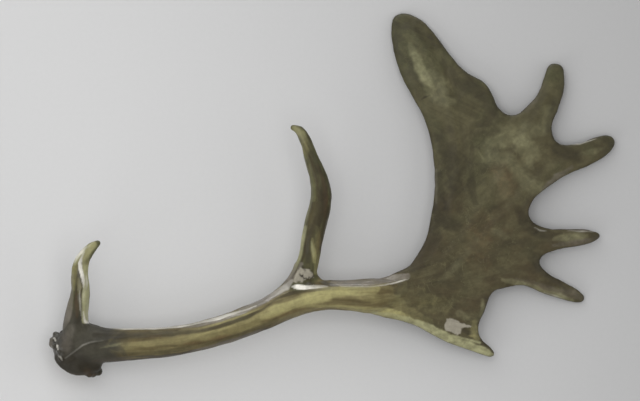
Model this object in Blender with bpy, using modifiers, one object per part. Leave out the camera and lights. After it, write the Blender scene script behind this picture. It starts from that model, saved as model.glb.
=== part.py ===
"""Single fallow deer antler, lying on its three lowest points with the palm's broad face up.

+X runs from the burr to the finger tips, +Y from the lower edge of the palm to its top lobe,
and +Z is up. The origin is on the ground, under the middle of the antler.
"""
import math

import bmesh
import bpy
import numpy as np
from mathutils import Matrix, Vector

MM = 0.001

# Main beam: x, y and height of the centre line, then radius, in millimetres, burr to palm.
BEAM_STATIONS = (
    (-255, -161, 26, 27),
    (-249.5, -152.5, 32, 24),
    (-240, -150, 37, 21.3),
    (-228, -150.5, 39, 18),
    (-214, -150.5, 40, 16.9),
    (-190, -149.5, 41, 15.9),
    (-151, -145.5, 42, 15),
    (-111, -136, 43, 14.9),
    (-71, -121.5, 43, 15.4),
    (-42, -109, 42, 15.6),
    (-10, -101, 41, 15.2),
    (20, -101, 39, 15.9),
    (44, -101, 37, 17.6),
    (66, -96, 35, 12),
    (90, -72, 33, 6),
)

# Burr, the beaded ring round the foot of the beam, and the seal, the scar where it was shed.
BURR_CENTRE = (-255.5, -159.6, 26)
BURR_FACING = (-0.451, -0.702, -0.55)
BURR_RIGHT = (0.841, -0.541, 0)
BURR_RADIUS = 25.9
CORE_RADIUS = 25
CORE_THICKNESS = 7
BEAD_RADIUS = 4
BEAD_COUNT = 22
BEAD_UNEVENNESS = 0.16
BEAD_LIFT = 5
BEAD_WAVES = (2.3, 5.1)
SMALL_BEAD_RADIUS = 3
SMALL_RING_RADIUS = 25
SMALL_RING_LIFT = -6
SEAL_RADIUS = 17
SEAL_HEIGHT = 7

# Larger knobs on the burr: degrees round the ring from its lower right end, as seen from above,
# over its top; distance from the ring's centre; height over its middle; radius.
KNOBS = (
    (10, 28.8, -0.5, 4.6), (23, 27, 1, 4.4), (34, 26.8, 1, 4), (112, 26, -3, 3.6),
    (128, 24.5, -6, 3.4), (146, 26.5, -4, 3.4), (168, 27.5, -3, 3.6), (182, 27.5, -6, 3.4),
    (194, 27, 0, 3.6),
)

# Belly, the smooth swelling that overhangs the top of the burr: x, y, height and radius, in
# millimetres, and the degrees round the ring between which it leaves no beads.
BELLY_STATIONS = (
    (-269.5, -158.5, 36, 8.6),
    (-266, -165.5, 37.5, 10.4),
    (-258.5, -170, 39.5, 10.4),
    (-249, -171.2, 39, 9.9),
    (-242, -171, 38, 9.2),
    (-236, -170.5, 36.5, 7.2),
)
BARE_ARC = (40, 150)

# Raised lines on the beam: x, y, height and radius, in millimetres.
CREST_STATIONS = (
    (-271, -163, 42, 2.8),
    (-260, -156.5, 50.5, 3),
    (-246, -149, 55.5, 3),
    (-221, -145.5, 55, 2.6),
    (-200, -144, 53.5, 2),
)
UPPER_RIDGE_STATIONS = (
    (4, -92, 50, 1.6),
    (20, -91.5, 49, 2.2),
    (44, -90.5, 47, 2.6),
    (60, -88.5, 42.5, 2.6),
    (74, -85, 37.5, 2.2),
    (84, -80, 33.5, 1.8),
)

# Tines that leave the beam: x, y, height and radius, in millimetres, from root to tip.
BROW_STATIONS = (
    (-250, -150, 32, 19),
    (-254.5, -133, 41, 14.3),
    (-254, -119.5, 47, 12),
    (-252, -107.5, 52, 10.7),
    (-250, -95.5, 57, 9.6),
    (-251, -82.5, 62, 8.8),
    (-250, -71.5, 67, 8.2),
    (-245, -60.5, 72, 7),
    (-237.8, -52.3, 76, 5.5),
    (-232.6, -48.5, 78, 3.6),
)
TREZ_STATIONS = (
    (-34, -101, 41, 14.5),
    (-29, -86, 42, 13.5),
    (-25.5, -75, 43.5, 12),
    (-21.5, -61.5, 46, 10.8),
    (-19, -45.5, 49, 10.9),
    (-15, -27.5, 52, 11.5),
    (-10.5, -9.5, 55, 11.2),
    (-10, 4.5, 57, 10.3),
    (-13, 18.5, 59, 9.1),
    (-18, 31.5, 61, 8),
    (-22.3, 44.5, 63, 6.6),
    (-27, 56.5, 65, 5.9),
    (-31.7, 64, 65.8, 5),
    (-38.3, 67, 66, 3.3),
)

# Where the beam swells into the trez tine on either side.
TREZ_GUSSETS = (
    ((-66, -115, 42, 11), (-47, -100, 42, 9.4), (-38.5, -87, 42.5, 6.6), (-33, -71, 44, 4.5)),
    ((12, -101, 41, 11), (-8, -93.2, 41.5, 7.3), (-16, -84, 42.5, 5), (-19, -72, 44, 4)),
)

# Palm: its outline seen from above, in millimetres, clockwise from where it leaves the beam.
FRONT_EDGE = (
    (20, -101), (50, -83), (71.5, -76.3), (84, -62.5), (93.5, -45.5), (99.5, -21.5),
    (102.9, 10), (100.5, 44.5), (93, 74.5), (80.3, 98.5), (68.3, 122.5), (61, 150),
)
TOP_LOBE = (
    (59.6, 168), (62.5, 178), (70, 182.2), (81, 180.5), (90, 176), (97, 170),
    (109, 155.5), (122, 137.5), (137, 122.5), (154, 112.5), (162, 101), (168.5, 87),
    (182, 80),
)
FIRST_FINGER = (
    (195.7, 88.8), (207.6, 103.4), (214, 121), (218, 130), (225.5, 132), (232, 129),
    (234.5, 118), (233.5, 102), (227, 82.5), (221.6, 64.8), (228.6, 51.7),
)
SECOND_FINGER = (
    (247, 51.7), (266, 58.5), (278, 60.3), (284.8, 55.5), (282, 44.5), (266, 32),
    (237.5, 19.4), (215.2, 5), (200.8, -9.5), (199, -22.5),
)
THIRD_FINGER = (
    (211, -31.6), (237, -33.9), (264, -36.3), (271, -41), (265, -47),
    (250, -52), (222, -57.5), (209.5, -66.5),
)
FOURTH_FINGER = (
    (215, -76), (233, -86.8), (251, -98), (255.5, -104.5), (250, -109), (238, -107.2),
    (215, -100.6), (190, -90.8), (172, -89), (161.5, -99.5), (154.2, -117.5), (147.6, -135),
)
REAR_POINT = (
    (152, -145.3), (161.5, -154), (165, -161), (160, -163.8), (150, -160.7), (133, -154.8),
    (111, -146.5), (89, -134.3), (69, -125.8), (45, -121),
)
PALM_OUTLINE = (
    FRONT_EDGE + TOP_LOBE + FIRST_FINGER + SECOND_FINGER + THIRD_FINGER + FOURTH_FINGER
    + REAR_POINT
)
WEB_THICKNESS = 8
WEB_EDGE_RADIUS = 3.4

# Ribs that fan out from the beam through the palm: x, y and half width, in millimetres.
RIBS = (
    ((50, -102, 15), (102, -62, 9), (123, 0, 9), (123, 70, 9.5), (95, 140, 12), (78, 164, 11)),
    ((50, -102, 15), (112, -68, 10), (160, 0, 9), (195, 60, 9.5), (218, 95, 10.5), (226, 122, 7)),
    ((50, -102, 15), (118, -77, 11), (175, -20, 9), (215, 20, 10), (250, 38, 9), (276, 51, 6)),
    ((50, -102, 15), (118, -88, 11), (175, -60, 9), (215, -46, 9), (245, -43, 6.5), (264, -42, 4)),
    ((50, -102, 15), (115, -99, 11), (160, -88, 9.5), (205, -86, 6), (235, -97, 6), (249, -102, 4)),
    ((44, -106, 15), (80, -119, 11), (112, -132, 9), (138, -147, 8), (152, -154, 5), (161, -159, 3)),
)
RIB_FLATNESS = 0.56

# Sag of the palm from the end of the beam down to its tips: the bearing of each tip from the
# root in degrees, its distance in millimetres and the height of its middle above the ground.
PALM_ROOT = (60, -98)
PALM_ROOT_HEIGHT = 36
TIP_SAGS = (
    (-37, 122, 13),
    (-2, 194, 2.5),
    (15, 216, 9),
    (34, 270, 7),
    (54, 282, 9),
    (88, 280, 3),
)
SAG_POWER = 1.6

# Where the antler parts at its forks: a point on the cut and the way the outer piece leaves it.
FORK_GAP = 0.3
FORKS = {
    "brow_tine": {"at": (-254, -125, 44.5), "along": (-0.02, 0.92, 0.39), "size": (70, 110, 110)},
    "trez_tine": {"at": (-26, -77, 44), "along": (0.1, 0.99, 0.12), "size": (64, 90, 170)},
    "palm": {"at": (45, 0, 46), "along": (1, 0, 0), "size": (420, 160, 260)},
}
SEAL_CUT = {"at": BURR_CENTRE, "along": BURR_FACING, "size": (80, 80, 60)}

# Fineness of the round parts and of the grown surface.
RING_CORNERS = 48
BALL_DETAIL = 3
TUBE_DETAIL = 6
CURVE_DETAIL = 8
RIM_DETAIL = 3
FLAT_VOXEL = 1.6
FLAT_SMOOTHING_PASSES = 12
VOXEL = 1.3
SMOOTHING_PASSES = 8
FINE_VOXEL = 1.1
FINE_SMOOTHING_PASSES = 2
SHARE_OF_FACES_KEPT = 0.0295
WELD = 0.01

# Colours and roughness.
ANTLER_FINISHES = {
    "beam": ((0.17, 0.15, 0.075, 1), 0.38),
    "brow_tine": ((0.11, 0.10, 0.06, 1), 0.38),
    "trez_tine": ((0.12, 0.105, 0.055, 1), 0.38),
    "palm": ((0.075, 0.07, 0.042, 1), 0.42),
}


def clear_scene():
    """Remove every object there is."""
    for thing in list(bpy.data.objects):
        bpy.data.objects.remove(thing, do_unlink=True)


def new_collection(name):
    """A collection of that name in the scene."""
    collection = bpy.data.collections.new(name)
    bpy.context.scene.collection.children.link(collection)
    return collection


def add_object(name, shape, collection):
    """An object in the collection whose mesh holds the shape."""
    mesh = bpy.data.meshes.new(name)
    shape.to_mesh(mesh)
    shape.free()
    thing = bpy.data.objects.new(name, mesh)
    collection.objects.link(thing)
    return thing


def taken_evaluated(thing):
    """The shape of an object with its modifiers, after which the object is removed."""
    bpy.context.view_layer.update()
    evaluated = thing.evaluated_get(bpy.context.evaluated_depsgraph_get())
    mesh = bpy.data.meshes.new_from_object(evaluated)
    shape = bmesh.new()
    shape.from_mesh(mesh)
    bpy.data.objects.remove(thing)
    bpy.data.meshes.remove(mesh)
    return shape


def add_shape(shape, other):
    """Put the other shape into the shape."""
    spare = bpy.data.meshes.new("spare")
    other.to_mesh(spare)
    shape.from_mesh(spare)
    other.free()
    bpy.data.meshes.remove(spare)


def mesh_of_curve(curve):
    """The closed shape of a curve, with its caps welded on."""
    guide = bpy.data.objects.new(curve.name, curve)
    bpy.context.scene.collection.objects.link(guide)
    shape = taken_evaluated(guide)
    bmesh.ops.remove_doubles(shape, verts=shape.verts, dist=WELD * MM)
    return shape


def smooth_spline(curve, points):
    """A smooth line of the curve through x, y, z points in millimetres."""
    spline = curve.splines.new("BEZIER")
    spline.bezier_points.add(len(points) - 1)
    for knot, point in zip(spline.bezier_points, points):
        knot.co = Vector(point) * MM
        knot.handle_left_type = "AUTO"
        knot.handle_right_type = "AUTO"
    return spline


def add_ball(shape, centre, radius):
    """Put a ball into the shape, its centre and radius in millimetres."""
    place = Matrix.Translation(Vector(centre) * MM)
    bmesh.ops.create_icosphere(shape, subdivisions=BALL_DETAIL, radius=radius * MM, matrix=place)


def tube(name, stations):
    """A round tube through x, y, height and radius stations, with a ball on its far end."""
    curve = bpy.data.curves.new(name, "CURVE")
    curve.dimensions = "3D"
    curve.bevel_depth = MM
    curve.bevel_resolution = TUBE_DETAIL
    curve.resolution_u = CURVE_DETAIL
    curve.use_fill_caps = True
    spline = smooth_spline(curve, [station[:3] for station in stations])
    spline.radius_interpolation = "CARDINAL"
    for knot, station in zip(spline.bezier_points, stations):
        knot.radius = station[3]
    shape = mesh_of_curve(curve)
    add_ball(shape, stations[-1][:3], stations[-1][3])
    return shape


def frame_along(at, direction, right=None):
    """A matrix with its origin at the point, in millimetres, and its Z axis along the direction."""
    ahead = Vector(direction).normalized()
    turn = ahead.to_track_quat("Z", "Y").to_matrix()
    if right:
        side = Vector(right).normalized()
        turn = Matrix((side, ahead.cross(side), ahead)).transposed()
    return Matrix.Translation(Vector(at) * MM) @ turn.to_4x4()


def add_disc(shape, frame, low, high, low_radius, high_radius):
    """A round stub between two heights over a frame, in millimetres."""
    middle = frame @ Matrix.Translation((0, 0, (low + high) / 2 * MM))
    bmesh.ops.create_cone(
        shape, cap_ends=True, segments=RING_CORNERS, radius1=low_radius * MM,
        radius2=high_radius * MM, depth=(high - low) * MM, matrix=middle,
    )


def burr_core():
    """The disc under the beads and the stub that ends in the seal."""
    shape = bmesh.new()
    frame = frame_along(BURR_CENTRE, BURR_FACING, BURR_RIGHT)
    half = CORE_THICKNESS / 2
    add_disc(shape, frame, -half, half, CORE_RADIUS, CORE_RADIUS)
    add_disc(shape, frame, 0, SEAL_HEIGHT + half, CORE_RADIUS, SEAL_RADIUS)
    return shape


def unevenness(index):
    """How much larger than usual the bead of this index is, as a share."""
    waves = [math.sin(step * index + turn) for turn, step in enumerate(BEAD_WAVES)]
    return BEAD_UNEVENNESS * sum(waves) / len(waves)


def beads():
    """Two rings of uneven beads and a few larger knobs on the burr."""
    shape = bmesh.new()
    step = 360 / BEAD_COUNT
    for index in range(BEAD_COUNT):
        if BARE_ARC[0] < index * step < BARE_ARC[1]:
            continue
        more = unevenness(index)
        add_bead(shape, index * step, BURR_RADIUS, BEAD_LIFT * more, BEAD_RADIUS * (1 + more))
        add_bead(
            shape, (index + 0.5) * step, SMALL_RING_RADIUS, SMALL_RING_LIFT,
            SMALL_BEAD_RADIUS * (1 - more),
        )
    for knob in KNOBS:
        add_bead(shape, *knob)
    return shape


def add_bead(shape, degrees_round, ring_radius, lift, radius):
    """Put a ball into the shape at a place on the burr, all lengths in millimetres."""
    frame = frame_along(BURR_CENTRE, BURR_FACING, BURR_RIGHT)
    turn = math.radians(degrees_round)
    offset = Vector((math.cos(turn) * ring_radius, math.sin(turn) * ring_radius, lift))
    add_ball(shape, (frame @ (offset * MM)) / MM, radius)


def palm_height(x, y):
    """Height of the middle of the palm over the ground at x, y, all in millimetres."""
    bearings, reaches, tip_heights = np.array(TIP_SAGS, dtype=float).T
    dx = x - PALM_ROOT[0]
    dy = y - PALM_ROOT[1]
    bearing = math.degrees(math.atan2(dy, dx))
    reach = np.interp(bearing, bearings, reaches)
    fall = PALM_ROOT_HEIGHT - np.interp(bearing, bearings, tip_heights)
    return PALM_ROOT_HEIGHT - fall * (math.hypot(dx, dy) / reach) ** SAG_POWER


def web():
    """The flat plate inside the palm's outline, with a rounded edge."""
    outline = bpy.data.curves.new("web", "CURVE")
    outline.dimensions = "2D"
    outline.fill_mode = "BOTH"
    outline.bevel_depth = WEB_EDGE_RADIUS * MM
    outline.bevel_resolution = RIM_DETAIL
    outline.offset = -WEB_EDGE_RADIUS * MM
    outline.extrude = (WEB_THICKNESS / 2 - WEB_EDGE_RADIUS) * MM
    outline.resolution_u = CURVE_DETAIL
    spline = smooth_spline(outline, [(x, y, 0) for x, y in PALM_OUTLINE])
    spline.use_cyclic_u = True
    return mesh_of_curve(outline)


def palm():
    """The web and its ribs grown together flat, then sagged down to the tips."""
    flat = web()
    for index, rib in enumerate(RIBS):
        fat = tube(f"rib_{index}", [(x, y, 0, half_width) for x, y, half_width in rib])
        bmesh.ops.scale(fat, vec=(1, 1, RIB_FLATNESS), verts=fat.verts)
        add_shape(flat, fat)
    shape = grown_together(flat, FLAT_VOXEL, FLAT_SMOOTHING_PASSES)
    for vertex in shape.verts:
        vertex.co.z += palm_height(vertex.co.x / MM, vertex.co.y / MM) * MM
    return shape


def grown_together(shape, voxel, passes, share=1):
    """The smoothed skin of overlapping closed shapes, with a share of its faces kept."""
    thing = add_object("skin", shape, bpy.context.scene.collection)
    skin = thing.modifiers.new("Skin", "REMESH")
    skin.mode = "VOXEL"
    skin.voxel_size = voxel * MM
    smooth = thing.modifiers.new("Smooth", "SMOOTH")
    smooth.iterations = passes
    if share < 1:
        thin = thing.modifiers.new("Thin", "DECIMATE")
        thin.ratio = share
    return taken_evaluated(thing)


def antler_form():
    """The whole antler as one closed shape."""
    form = bmesh.new()
    add_shape(form, tube("beam", BEAM_STATIONS))
    add_shape(form, tube("brow", BROW_STATIONS))
    add_shape(form, tube("trez", TREZ_STATIONS))
    for gusset in TREZ_GUSSETS:
        add_shape(form, tube("gusset", gusset))
    add_shape(form, burr_core())
    add_shape(form, tube("belly", BELLY_STATIONS))
    add_shape(form, palm())
    form = grown_together(form, VOXEL, SMOOTHING_PASSES)
    add_shape(form, beads())
    add_shape(form, tube("crest", CREST_STATIONS))
    add_shape(form, tube("upper_ridge", UPPER_RIDGE_STATIONS))
    return grown_together(form, FINE_VOXEL, FINE_SMOOTHING_PASSES, SHARE_OF_FACES_KEPT)


def set_on_ground(form):
    """Move the form so that the origin is on the ground under its middle, and tell by how much."""
    corners = np.array([vertex.co for vertex in form.verts])
    low = corners.min(axis=0)
    middle = (low + corners.max(axis=0)) / 2
    shift = Vector((-middle[0], -middle[1], -low[2]))
    bmesh.ops.translate(form, vec=shift, verts=form.verts)
    return shift


def cut_box(name, cut, raised, shift, collection):
    """A box over the outer side of a cut, its lower face raised off the cut by millimetres."""
    width, depth, reach = (length * MM for length in cut["size"])
    lift = Matrix.Translation((0, 0, reach / 2 + raised * MM))
    shape = bmesh.new()
    bmesh.ops.create_cube(shape, size=1, matrix=Matrix.Diagonal((width, depth, reach, 1)))
    box = add_object(name, shape, collection)
    box.matrix_world = Matrix.Translation(shift) @ frame_along(cut["at"], cut["along"]) @ lift
    box.display_type = "WIRE"
    box.hide_render = True
    return box


def add_boolean(thing, operation, cutter):
    """Let the cutter take from the thing, or keep only what it covers."""
    cut = thing.modifiers.new(cutter.name, "BOOLEAN")
    cut.operation = operation
    cut.solver = "EXACT"
    cut.object = cutter


def finish(thing, colour, roughness):
    """Give the thing its own material and smooth shading."""
    material = bpy.data.materials.new(thing.name)
    material.use_nodes = True
    shader = material.node_tree.nodes["Principled BSDF"]
    shader.inputs["Base Color"].default_value = colour
    shader.inputs["Roughness"].default_value = roughness
    thing.data.materials.append(material)
    thing.data.shade_smooth()


def main():
    """Grow the antler and part it at its forks."""
    clear_scene()
    antler = new_collection("fallow_deer_antler")
    cutters = new_collection("cutters")
    form = antler_form()
    shift = set_on_ground(form)
    beam = add_object("beam", form.copy(), antler)
    for name, fork in FORKS.items():
        piece = add_object(name, form.copy(), antler)
        add_boolean(piece, "INTERSECT", cut_box(f"{name}_side", fork, 0, shift, cutters))
        add_boolean(beam, "DIFFERENCE", cut_box(f"{name}_cut", fork, -FORK_GAP, shift, cutters))
    seal_box = cut_box("seal_cut", SEAL_CUT, SEAL_HEIGHT, shift, cutters)
    add_boolean(beam, "DIFFERENCE", seal_box)
    form.free()
    for thing in antler.objects:
        colour, roughness = ANTLER_FINISHES[thing.name]
        finish(thing, colour, roughness)


main()
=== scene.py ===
"""Looks of a fallow deer antler: one grown skin over its solids, in two pieces, on a pale floor.

Lengths and places are in millimetres in the antler's own frame and scaled where they are used.
"""

import itertools
import math

import bmesh
import bpy
import numpy as np
from mathutils import Matrix, Vector


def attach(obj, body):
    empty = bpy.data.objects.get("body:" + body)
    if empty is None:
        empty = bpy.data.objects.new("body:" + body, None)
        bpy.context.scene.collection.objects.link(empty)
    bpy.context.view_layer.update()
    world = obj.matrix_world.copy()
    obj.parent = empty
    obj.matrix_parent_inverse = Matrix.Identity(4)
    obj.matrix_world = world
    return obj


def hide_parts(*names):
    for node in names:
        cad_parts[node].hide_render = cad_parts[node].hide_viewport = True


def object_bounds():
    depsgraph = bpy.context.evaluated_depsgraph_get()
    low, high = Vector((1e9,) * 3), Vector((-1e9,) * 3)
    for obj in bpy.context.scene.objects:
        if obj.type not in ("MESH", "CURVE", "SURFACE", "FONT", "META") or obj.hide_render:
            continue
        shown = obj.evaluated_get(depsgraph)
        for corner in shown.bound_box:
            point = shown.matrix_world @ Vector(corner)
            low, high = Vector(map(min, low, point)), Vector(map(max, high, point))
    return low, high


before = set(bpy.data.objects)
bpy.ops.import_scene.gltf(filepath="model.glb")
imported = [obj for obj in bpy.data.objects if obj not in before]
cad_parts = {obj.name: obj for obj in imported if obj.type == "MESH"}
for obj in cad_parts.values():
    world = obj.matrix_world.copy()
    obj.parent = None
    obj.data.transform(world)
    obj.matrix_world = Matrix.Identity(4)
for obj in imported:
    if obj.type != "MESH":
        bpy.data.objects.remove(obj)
CAD_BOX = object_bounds()

MM = 0.001

# The skin: how far the solids swell to close their cuts, how near corners are welded, the size of
# its cells, and how it is smoothed.
SWELL = 0.4
WELD = 0.01
CELL = 1.06
SMOOTHING_PASSES = 16
SMOOTHING_IN = 0.52
SMOOTHING_OUT = -0.54

# Share of the smoothing on the burr's beads and on the belly over them, and where each ends.
BEAD_SMOOTHING = 0.18
BEAD_REACH = (30, 48)
BELLY_SMOOTHING = 0.5
BELLY_REACH = (11, 14)

# Passes and share of each round of the smoothing that hollows are measured against.
HOLLOW_ROUNDS = ((3, 1), (6, 0.9))

# Where the skin is cut in two pieces, across the palm's foot.
SEAM = 70

# Middle lines of the round parts, from root to tip: x, y and height.
BEAM_LINE = (
    (-262, -154, 30), (-241, -151.5, 37), (-215, -150, 40), (-152, -145, 42), (-72, -121, 43),
    (-10, -101, 41), (45, -101, 37), (90, -92, 30),
)
BROW_LINE = ((-252, -140, 38), (-255, -119, 47), (-251, -82, 62), (-246, -60, 72), (-234, -47, 78))
TREZ_LINE = (
    (-32, -95, 42), (-26, -75, 43), (-20, -45, 49), (-11, -5, 56), (-19, 32, 61), (-36, 68, 66),
)
BELLY_LINE = ((-270, -157, 36), (-267, -164, 37), (-259, -169, 39), (-241, -169, 38), (-233, -164, 37))

# How far out a tine's root reaches, and the slant of the grain across the round parts.
TINE_ROOT = 7
GRAIN_SLANT = 0.5

# Palm: the point its grain fans out from, where along the grain the fan starts, its width to a
# radian, and where the beam turns into the palm, sooner at its sides.
PALM_ROOT = (20, -100, 38)
FAN_START = 300
FAN_WIDTH = 110
PALM_TURN = (40, 85)
PALM_BOW = 0.25

# Burr: its centre, the way its scar faces, the lower right end of its ring, and its radius.
BURR_CENTRE = (-256.5, -159, 26)
BURR_FACING = (-0.451, -0.702, -0.55)
BURR_RIGHT = (0.841, -0.541, 0)
BURR_RADIUS = 27.5

# Small pearls under its ring: their number, the degrees they grow between, their radii, and how far
# they stray along the ring, out of it and over it.
PEARL_SEED = 4
PEARL_COUNT = 130
PEARL_ARC = (205, 335)
PEARL_SIZES = (0.9, 2.1)
PEARL_SHIFT = (-0.4, 0.4)
PEARL_OUT = (-3, 2)
PEARL_LIFT = (-7, 5)

# Seal, the scar inside the burr: how far from its middle it ends, how high over the burr's centre it
# begins, and how squarely the skin faces out of it.
SEAL_EDGE = (17, 20)
SEAL_HEIGHT = (4, 6)
SEAL_TURN = (0.75, 0.95)

# Noise: the numbers that scatter its slopes, how far it swings, and the shift of its finer layers.
HASH_STEPS = (374761393, 668265263, 2147483647)
HASH_SEED = 1274126177
HASH_FACTOR = 1103515245
HASH_LIMIT = 0x7FFFFFFF
SLOPE_SHIFTS = (3, 11, 19)
NOISE_SWING = 1.6
LAYER_SHIFT = 17.3

# Relief of the skin. The furrows set in at some distance from the burr's centre.
LUMP_SIZE = 15
LUMP_HEIGHT = 0.35
FURROW_SIZE = (70, 6, 6)
FURROW_SHARPNESS = 2
FURROW_DEPTH = 0.35
FURROW_START = (32, 55)
FURROW_LOSS_ON_PALM = 0.8
VEIN_SIZE = (90, 12, 40)
VEIN_SHARPNESS = 5
VEIN_DEPTH = 0.1
PIT_SIZE = 2.2
PIT_DEPTH = 0.35

# Crisp crests on the upper side: their line seen from above, height and half width, and the lengths
# over which they rise and end.
CRESTS = (
    (((-248, -57), (-253, -67), (-251, -77), (-248, -88), (-251.5, -98), (-251, -120), (-247, -127)),
     0.9, 4),
    (((-268, -164), (-258, -156.5), (-249, -149.5), (-236, -145.5), (-212, -143)), 0.8, 3),
    (((-40, -90.5), (-22, -91), (-3, -91), (8, -91), (30, -91), (46, -90), (59, -88), (74, -84)), 0.5, 3.5),
    (((52, -112), (75, -117.5), (90, -122), (108, -134), (119, -139), (126, -142), (146, -147)), 0.5, 5),
)
CREST_START = 8
CREST_END = 12

# Dents on the upper side: place, half lengths along and across, turn in degrees and depth, and the
# shares of the way to their edge between which they slope.
DENTS = (
    ((136, -136), (6, 3.5), -25, 1.1),
    ((-27, -77), (9, 7), 80, 0.5),
)
DENT_SLOPE = (0.4, 1.1)

# Crack at the trez tine's root, seen from above.
CRACK = (
    (-32.5, -78.5), (-30.5, -81.5), (-29.5, -79.5), (-28, -83.5), (-26, -82.5), (-24, -84.5),
    (-23, -81.5), (-21, -83), (-18, -80.5),
)
CRACK_WIDTH = 1.3
CRACK_DEPTH = 0.7

# Slopes of the upper side, for the relief and the strokes, and of the rim and the under side, which get
# painted shade.
RELIEF_SIDE = (0.05, 0.45)
STROKE_SIDE = (-0.3, 0.1)
RIM_SHADE_SIDE = (0.1, 0.6)
UNDER_SHADE_SIDE = (0.6, 1)

# Where the colours of the foot and the burr fade, by the distance from the burr's centre, and where
# the painted shade on the beam's under side does.
FOOT_FADE = (34, 74)
BURR_FADE = (27, 33)
UNDER_SHADE_FADE = (-60, -25)

# How far the edges of the strokes sway and how unevenly they cover, in cells drawn out along the
# grain, and the reach and strength that a stroke keeps where it thins out.
SWAY = 0.22
SWAY_SIZE = 8
UNEVENNESS = 0.25
UNEVEN_SIZE = 7
DRAWN_OUT = (0.3, 1, 1)
THIN_REACH = 0.35
THIN_STRENGTH = 0.4

# Scraped patches: how far from them a place is still measured, how ragged and how soft their edge is.
SCRAPE_REACH = 5.0
SCRAPE_RAGGED = 1
SCRAPE_EDGE = (-0.8, 1)

# Colour strokes, seen from above: line, half width at its points or throughout, softness, strength.
# Pale strokes: partly the bleached, worn pale of the bone, on the rear rim, the tips and the palm's
# patches; partly painted highlights, on the brow tine's lit facet and shoulder, along the lobe's ridge, the
# palm's left edge and the fingers' top edges, and on the burr's crest.
PALE_AND_HIGHLIGHT_STROKES = (
    # Burr.
    (((-232, -152.5), (-224, -151), (-216, -149.5), (-209, -147.5)), (0.1, 0.4, 0.6, 0.1), 1.6, 0.26),
    # Beam.
    (((-54, -98), (-49, -95)), 0.8, 1.5, 0.9),
    # Brow tine.
    (((-238, -50), (-242, -54), (-245, -61)), 2, 3, 0.45),
    (((-244, -50), (-250, -57), (-255, -62), (-257, -68)), (1, 1.8, 2.2, 1), 2.4, 1),
    (((-247, -63), (-247, -70), (-245.5, -80), (-245, -90)), (0.4, 1.6, 2, 1), 2, 0.75),
    (((-244.5, -72), (-244.5, -86), (-245.5, -97), (-246.5, -108), (-247, -118), (-247, -125)),
     (2.2, 2.6, 2.8, 2.8, 2.8, 2.2), 1.4, 1),
    # Trez tine.
    (((-36, 66), (-31, 61), (-28, 54)), (1.6, 2, 0.5), 5, 0.36),
    (((-31, 47), (-25, 25), (-22, 8), (-22, -8), (-25, -22), (-28, -34)),
     (0.2, 0.6, 0.3, 0.3, 0.6, 0.2), 1.6, 0.3),
    (((-27, -32), (-29, -41), (-31, -53), (-34, -64), (-38, -73), (-43, -81)),
     (0.6, 1.4, 1.1, 1.2, 1.2, 0.4), 2.8, 0.8),
    (((-20.5, -46), (-19, -54), (-18.5, -61)), (0.2, 0.7, 0.2), 2, 0.6),
    # Palm.
    (((170, 54), (180, 62), (188, 57), (194, 49), (198, 40), (196, 30)), (3, 3, 4, 4, 3, 1), 12, 0.3),
    (((188, 58), (193, 52), (197, 45)), (2, 3, 2), 6, 0.4),
    (((191, 68), (203, 66), (212, 68), (216, 84)), (3, 3, 3, 2), 8, 0.2),
    (((160, 50), (160, 34), (174, 37), (184, 26), (194, 14), (206, 6)), (3, 3, 3, 2.4, 3, 3), 9, 0.22),
    (((166, 22), (171, 14), (171, 4)), 3, 7, 0.15),
    (((104, 24), (103.5, 8), (104, -8)), (0.4, 1, 0.4), 2.4, 0.22),
    (((107, -86), (118, -78), (128, -66), (136, -58)), (0.4, 1.2, 1, 0.4), 5, 0.13),
    (((162, -36), (172, -40)), 1, 6, 0.14),
    (((147, 43), (151, 37), (154, 32)), (0.1, 0.3, 0.1), 1.8, 0.25),
    # Lobe and fingers.
    (((78, 151), (82, 143), (86.5, 132), (91.5, 121), (97, 113), (103, 106)),
     (0.3, 1.8, 2.4, 2.6, 2.6, 0.4), 5, 0.44),
    (((97, 122), (106, 115), (111, 104), (114, 96)), (2, 3, 3, 1), 7, 0.24),
    (((95, 108), (101, 100), (112, 95), (121, 94)), (1, 3, 2.6, 1.4), 6, 0.24),
    (((222, -44), (232, -42), (246, -41), (255, -41)), (0.2, 1.6, 1.8, 0.3), 5, 0.35),
    (((171, -84.5), (180, -86.5), (190, -88.5), (201, -92), (214, -97), (228, -101), (240, -106)),
     (0.6, 1, 1.4, 1.2, 0.6, 1.8, 1.4), 3, 0.42),
    (((246, 41), (260, 43.5), (272, 47)), (0.3, 1.4, 0.6), 3, 0.16),
    # Rear point.
    (((42, -118), (56, -120), (66, -122.5), (76, -125), (86, -128.5), (98, -133.5), (108, -139),
      (118, -144), (128, -148.5), (138, -151), (148, -155), (157, -159), (161, -162)),
     (0.4, 1.2, 1.6, 2.2, 2.8, 3.4, 3.8, 3.8, 3.8, 3.8, 3.6, 3, 2), 2, 0.86),
    (((121, -140.5), (132, -143.5), (140, -145.5), (148, -147.5)), 0.5, 1.4, 0.7),
    (((150, -104), (151, -112), (149, -120)), (0.4, 1, 0.4), 2.5, 0.28),
    (((127, -118), (134, -122)), 1.5, 4, 0.2),
)
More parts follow.
